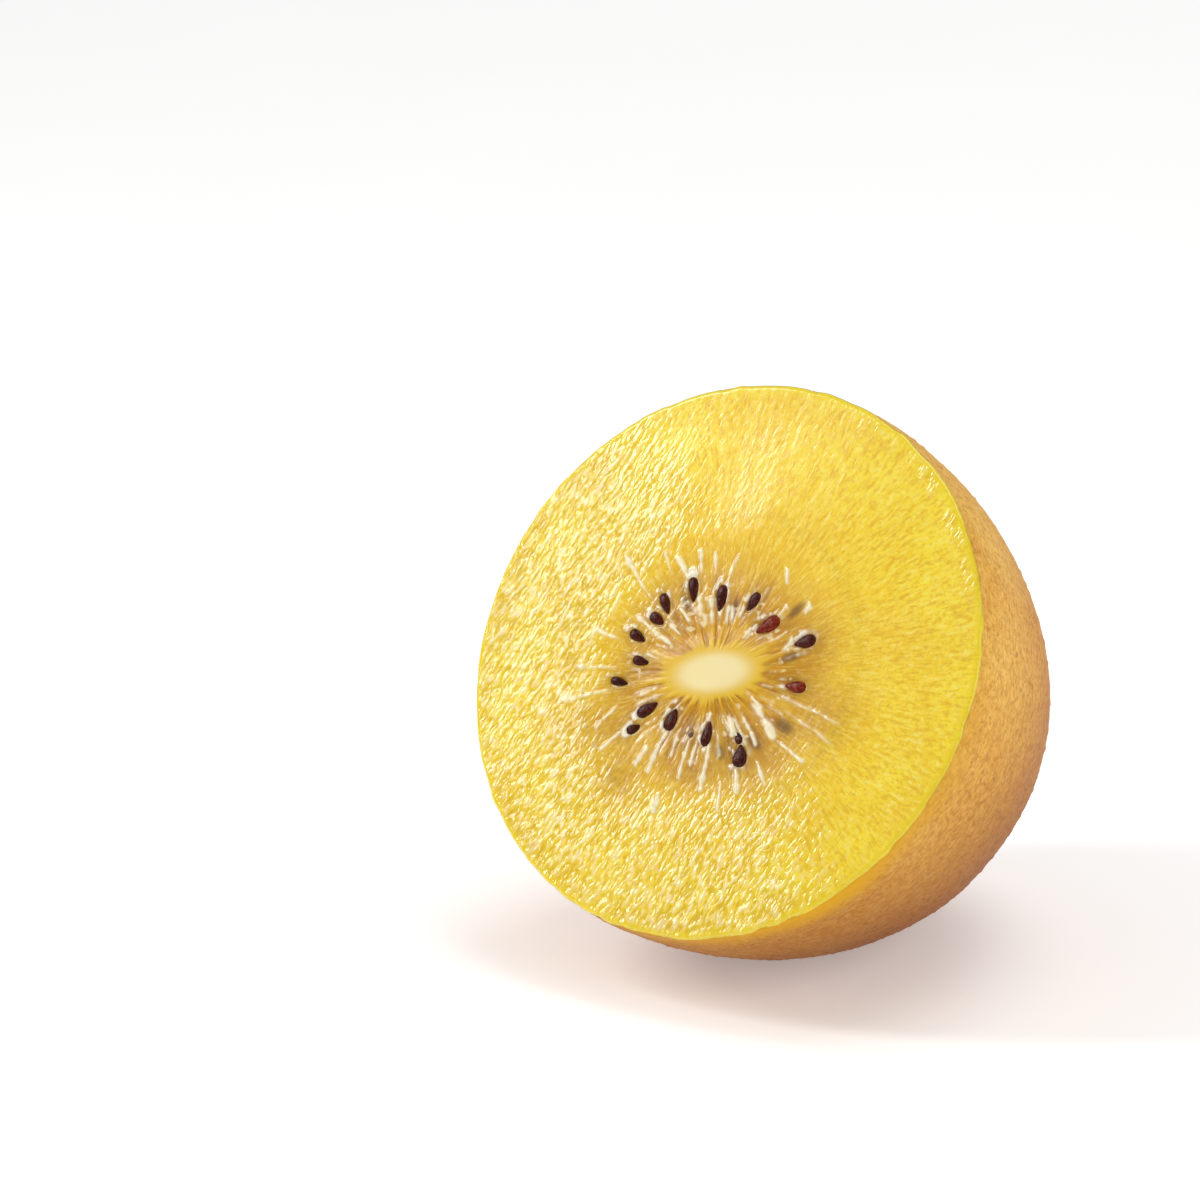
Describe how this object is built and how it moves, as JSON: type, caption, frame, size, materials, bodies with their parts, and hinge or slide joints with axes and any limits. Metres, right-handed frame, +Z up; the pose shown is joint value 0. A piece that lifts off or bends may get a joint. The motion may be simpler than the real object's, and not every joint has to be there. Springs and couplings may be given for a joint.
{
  "type": "golden kiwi fruit",
  "caption": "Half of a golden kiwi fruit, cut across, lying on its brown skin with the yellow cut face, pale core and dark seeds to the front.",
  "frame": {"origin": "middle of the small flat spot on the skin that the fruit rests on, at the level of the surface under it", "axes": "+Z up, -Y towards the side that the tipped-up cut face looks to, X across the cut face"},
  "size_m": [0.0523, 0.0499, 0.0525],
  "materials": {
    "flesh": "wet golden yellow pulp",
    "skin": "dry golden brown skin with fine mottling",
    "seed": "wet blackish brown"
  },
  "bodies": {
    "root": {"kiwi_half": "flesh"}
  },
  "joints": []
}
